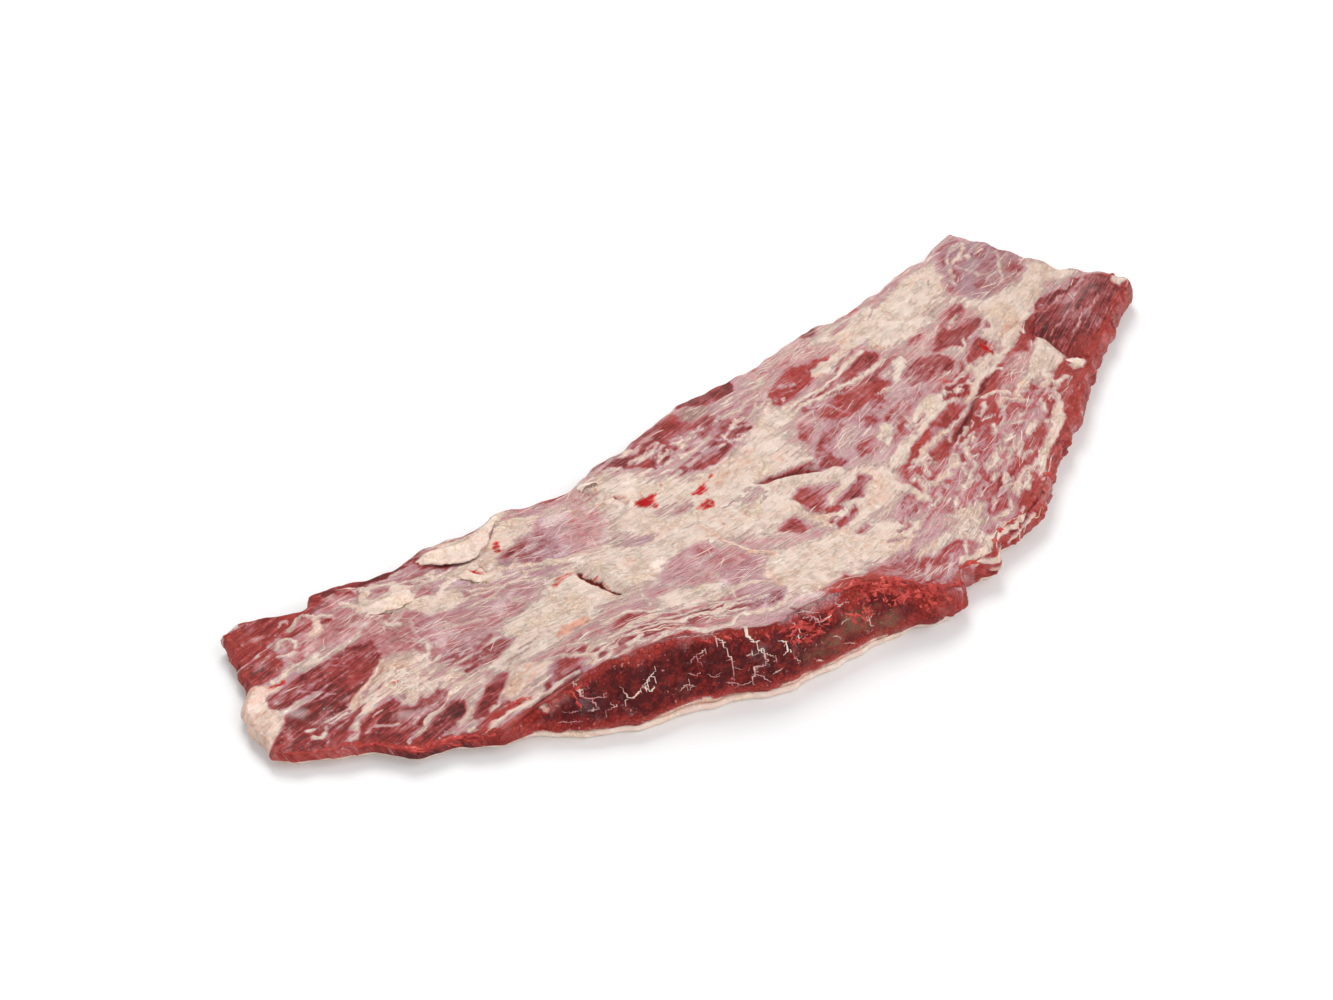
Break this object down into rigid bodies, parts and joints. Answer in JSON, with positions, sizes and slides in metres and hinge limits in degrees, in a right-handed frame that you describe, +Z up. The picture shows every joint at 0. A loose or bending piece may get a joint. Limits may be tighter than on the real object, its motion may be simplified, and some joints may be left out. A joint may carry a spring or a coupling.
{
  "type": "raw beef rib cap",
  "caption": "Long flat raw beef cut with a membrane side up, a thick red cut face on the near side and a thin layer of fat under it, lying flat.",
  "frame": {"origin": "under the middle of the piece, on the surface that it lies on", "axes": "+X along the cut, from the thin left end to the right end; +Y across it, from the knife-cut near edge to the far edge; +Z up"},
  "size_m": [0.5396, 0.2104, 0.0342],
  "materials": {
    "lean": "moist raw muscle with pale membrane and streaks of fat",
    "fat": "soft satin beef fat"
  },
  "bodies": {
    "root": {"lean": "lean", "fat_cover": "fat"}
  },
  "joints": []
}
